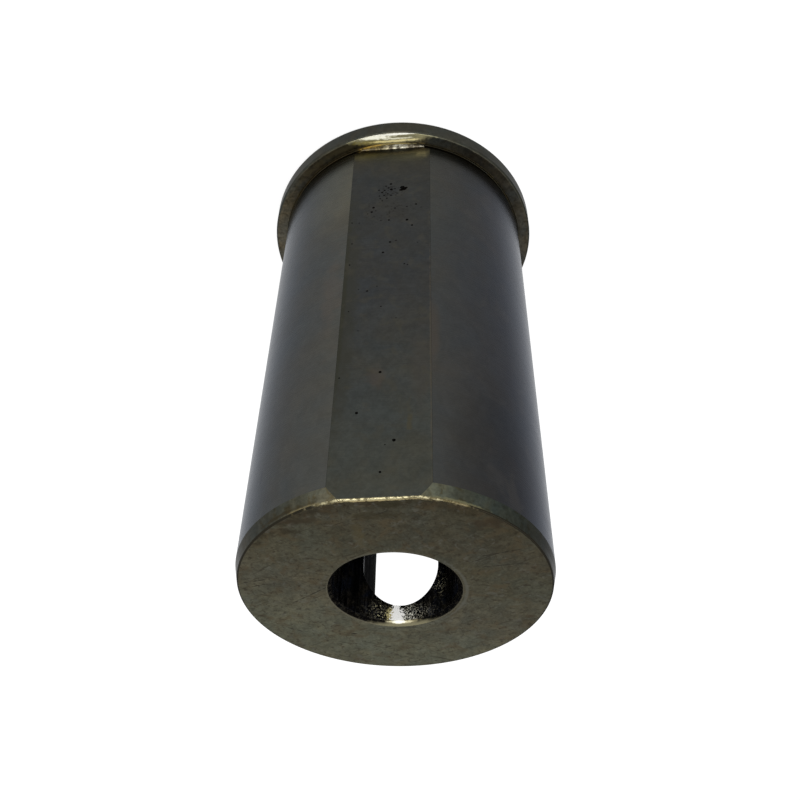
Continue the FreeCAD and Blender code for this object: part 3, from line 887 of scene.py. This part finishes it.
wornMouthWithPaintedHighlight = {
    "round": True, "lines": (40, 900, 900), "lineTone": 0.1, "lineDepth": 0.8, "cloudSize": 4, "seed": 2.9,
    "tone": (0.002, 0.002, 0.0025), "warm": (1.2, 1.0, 0.7), "cool": (0.9, 0.98, 1.04), "metallic": 0.0,
    "gloss": 0.0, "roughness": (0.4, 0.5),
    "layers": [
        # mottled, with a light line round it
        {"size": 0.6, "cover": 0.36, "soft": 0.16, "seed": 4.6, "tone": (0.017, 0.015, 0.011),
         "strength": 0.8},
        {"round": True, "centre": (0, 13.7, 115.95), "size": (300, 0.5, 0.5), "tone": (0.08, 0.074, 0.053),
         "strength": 0.9, "ragged": 0.1, "grain": 1.0, "core": 0.6},
        # a painted highlight: the light arc, brightest at its middle
        {"centre": (-1, 13.6, 115.7), "size": (10, 4, 0.6), "tone": (0.17, 0.155, 0.095), "strength": 0.95,
         "ragged": 0.15},
        {"centre": (-0.2, 13.2, 115.15), "size": (4.6, 4, 0.42), "tone": (0.3, 0.265, 0.155), "rough": 0.5,
         "ragged": 0.2, "grain": 1.0, "core": 0.3},
        {"centre": (0.3, 13.2, 115.22), "size": (3.2, 4, 0.26), "tone": (0.8, 0.75, 0.52), "rough": 0.5,
         "ragged": 0.25, "grain": 0.5},
        {"centre": (0.5, 13.2, 115.2), "size": (1.7, 4, 0.34), "tone": (1.0, 0.99, 0.9), "rough": 0.5,
         "ragged": 0.2, "grain": 0.6},
    ],
}

milledSlot = {
    "lines": (300, 2600, 60), "lineTone": 0.35, "lineDepth": 1.0, "cloudSize": 6, "seed": 8.3,
    # tones across the wall: painted shade, darkest towards the bore
    "across": {"direction": (0, 1, 0), "tones": [
        (10, (0.009, 0.011, 0.0115)), (18, (0.011, 0.013, 0.013)), (24, (0.021, 0.0225, 0.021)),
        (31, (0.033, 0.035, 0.031))]},
    "warm": (1.1, 1.0, 0.85), "cool": (0.85, 0.95, 1.05), "roughness": (0.55, 0.7),
    "edge": (0.15, 0.15, 0.16),
    "layers": [
        # a painted highlight along the inner edge
        {"round": True, "centre": (80, 12.75, 60), "size": (500, 1.1, 500), "tone": (0.38, 0.39, 0.41),
         "ragged": 0.12, "metal": 0.3},
        # darker towards the tail
        {"round": True, "centre": (0, 20, 99), "size": (900, 20, 5), "tone": (0.004, 0.004, 0.005),
         "ragged": 0.2, "strength": 0.6},
        # a painted highlight along the outer edge
        {"round": True, "centre": (80, 30.9, 60), "size": (900, 0.8, 900), "tone": (0.07, 0.07, 0.062),
         "ragged": 0.1},
    ],
}

rustPit = {
    "lines": (2000, 2000, 2000), "lineTone": 0.4, "lineDepth": 1.0, "cloudSize": 1, "seed": 9.2,
    "metallic": 0.0, "gloss": 0.0, "tone": (0.004, 0.0036, 0.0032), "warm": (1.15, 1.0, 0.9),
    "cool": (0.8, 0.9, 1.0), "roughness": (0.8, 0.95),
}

finishes = {
    "groundShank": groundShank,
    "milledFlat": milledFlat,
    "turnedTail": turnedTail,
    "turnedTaper": turnedTaper,
    "rimWithPaintedHighlight": rimWithPaintedHighlight,
    "flangeSteel": flangeSteel,
    "turnedSeat": turnedSeat,
    "seatGroove": seatGroove,
    "cutterCorner": cutterCorner,
    "oilyBoreWithPaintedGlint": oilyBoreWithPaintedGlint,
    "wornMouthWithPaintedHighlight": wornMouthWithPaintedHighlight,
    "milledSlot": milledSlot,
    "rustPit": rustPit,
}

zoneSize = {  # limits that tell the faces apart, in the order that finishOf asks
    "near": 0.02,  # how far a face's centre may lie off its surface
    "flatHalfWidth": 9.6,
    "pitTop": 0.004,  # under the flat
    "pitFloor": -29,
    "pitHeights": (8, 112),
    "rimRadius": 25,
    "rimTilt": 0.999,  # a normal's z, below which a face isn't level
    "flatStart": 0.01,  # before the flat's end at the seat
    "flatTilt": 0.99999,
    "cornerStart": 0.005,
    "slotHeights": (10, 112),
    "slotSide": 5,
    "shankOverlap": 0.3,
    "grooveHeight": 3,
}


def within(value, ends):
    return ends[0] < value < ends[1]


def finishOf(face):
    s, f, z = sleeveSize, flatSize, zoneSize
    centre, normal = face.center / mm, face.normal
    radius, height = math.hypot(centre.x, centre.y), centre.z
    fromTail = s["tail"] - height
    inFlat = abs(centre.x) < z["flatHalfWidth"] and centre.y < 0
    onFlat = inFlat and centre.y < -f["fromAxis"] + z["near"]
    underFlat = inFlat and within(centre.y, (-f["fromAxis"] + z["pitTop"], z["pitFloor"]))
    flatEnd = s["seat"] + f["gapToSeat"]
    if underFlat and within(height, z["pitHeights"]):
        return "rustPit"
    if fromTail < s["tailRound"] and radius > z["rimRadius"] and normal.z < z["rimTilt"]:
        return "rimWithPaintedHighlight"
    if onFlat and height > flatEnd - z["flatStart"] and -normal.y > z["flatTilt"]:
        return "milledFlat"
    if onFlat and within(height, (flatEnd - z["cornerStart"], flatEnd + f["cutterCorner"])):
        return "cutterCorner"
    if radius < s["boreRadius"] + z["near"]:
        return "oilyBoreWithPaintedGlint"
    if radius < s["boreRadius"] + s["boreChamfer"] and min(fromTail, height) < s["boreChamfer"]:
        return "wornMouthWithPaintedHighlight" if fromTail < s["boreChamfer"] else "flangeSteel"
    inSlot = centre.y > z["slotSide"] and within(height, z["slotHeights"])
    if inSlot and radius < s["shankRadius"] - z["near"]:
        return "milledSlot"
    if height > s["tail"] - z["near"]:
        return "turnedTail"
    if fromTail < s["leadInLength"]:
        return "turnedTaper"
    if height > s["seat"] + s["reliefEnd"] - z["shankOverlap"]:
        return "groundShank"
    if radius > s["shankRadius"] + s["reliefReach"] - z["near"]:
        return "turnedSeat" if height > s["seat"] - z["near"] else "flangeSteel"
    return "seatGroove" if height > z["grooveHeight"] else "flangeSteel"


shading = {"sharpAngle": 11, "evenWeight": 80}


def dress(piece):
    mesh = piece.data
    mesh.materials.clear()
    for name, look in finishes.items():
        mesh.materials.append(steelFinish(name, look))
    order = list(finishes)
    counts = dict.fromkeys(order, 0)
    for face in mesh.polygons:
        name = finishOf(face)
        counts[name] += 1
        face.material_index = order.index(name)
    print("faces of each finish:", counts)
    mesh.shade_smooth()
    mesh.set_sharp_from_angle(angle=math.radians(shading["sharpAngle"]))
    weighted = piece.modifiers.new("evenShading", "WEIGHTED_NORMAL")
    weighted.keep_sharp = True
    weighted.weight = shading["evenWeight"]


dress(sleeve)


# the camera, where the photograph's stood beside the part and turned with it: metres, degrees, lens in mm

camera = {
    "place": (-0.017454, -0.161248, 0.215672),
    "heading": 6.126,
    "fall": 43.051,
    "roll": 178.765,
    "lens": 42.566,
}


def placeCamera():
    data = bpy.data.cameras.new("camera")
    data.lens = camera["lens"]
    eye = bpy.data.objects.new("camera", data)
    heading, fall, roll = (math.radians(camera[key]) for key in ("heading", "fall", "roll"))
    turn = Matrix.Rotation(-heading, 4, "Z") @ Matrix.Rotation(math.pi / 2 - fall, 4, "X")
    eye.matrix_world = Matrix.Translation(camera["place"]) @ turn @ Matrix.Rotation(-roll, 4, "Z")
    bpy.context.scene.collection.objects.link(eye)
    bpy.context.scene.camera = eye


placeCamera()
print("camera placed")


# floor and light, in metres and watts

studio = {
    "world": 0.8,  # its light; seen directly or mirrored it is 1, which is white
    "floorTone": 0.35,
    "floorGlow": 0.72,
    "floorHalf": 3.0,
    "aim": (0, 0, 0.06),
    "lamps": [  # name, place, width, power
        ("keyLamp", (0.05, -0.8, 0.9), 0.4, 6.0),
        ("topLamp", (-0.7, 0.1, 1.0), 0.8, 4.0),
    ],
}


def seenDirectly(tree):
    light = addNode(tree, "LightPath").outputs
    seen = maths(tree, "MAXIMUM", light["Is Camera Ray"], light["Is Glossy Ray"])
    return maths(tree, "MAXIMUM", seen, light["Is Transmission Ray"])


def lightStudio():
    world = bpy.data.worlds.new("studio")
    bpy.context.scene.world = world
    world.use_nodes = True
    tree = world.node_tree
    background = tree.nodes["Background"]
    background.inputs["Color"].default_value = (1, 1, 1, 1)
    strength = remap(tree, seenDirectly(tree), 0.0, 1.0, studio["world"], 1.0, "LINEAR")
    tree.links.new(strength, background.inputs["Strength"])
    for name, place, width, power in studio["lamps"]:
        data = bpy.data.lights.new(name, "AREA")
        data.size, data.energy = width, power
        lamp = bpy.data.objects.new(name, data)
        lamp.location = place
        toward = Vector(studio["aim"]) - Vector(place)
        lamp.rotation_euler = toward.to_track_quat("-Z", "Y").to_euler()
        bpy.context.scene.collection.objects.link(lamp)
    bpy.context.scene.view_settings.view_transform = "Standard"


def layFloor():
    def build(bm):
        bmesh.ops.create_grid(bm, x_segments=1, y_segments=1, size=studio["floorHalf"])
    floor = newPiece("floor", build)
    material = bpy.data.materials.new("palePaint")
    material.use_nodes = True
    tree = material.node_tree
    tree.nodes.remove(tree.nodes["Principled BSDF"])
    tone = studio["floorTone"]
    paint = addNode(tree, "BsdfDiffuse", {"Color": (tone, tone, tone, 1)})
    strength = maths(tree, "MULTIPLY", seenDirectly(tree), studio["floorGlow"])
    glow = addNode(tree, "Emission", {"Color": (1, 1, 1, 1), "Strength": strength})
    both = addNode(tree, "AddShader", {0: paint.outputs[0], 1: glow.outputs[0]})
    tree.links.new(both.outputs[0], tree.nodes["Material Output"].inputs["Surface"])
    floor.data.materials.append(material)


lightStudio()
layFloor()
print("studio lit, floor laid")
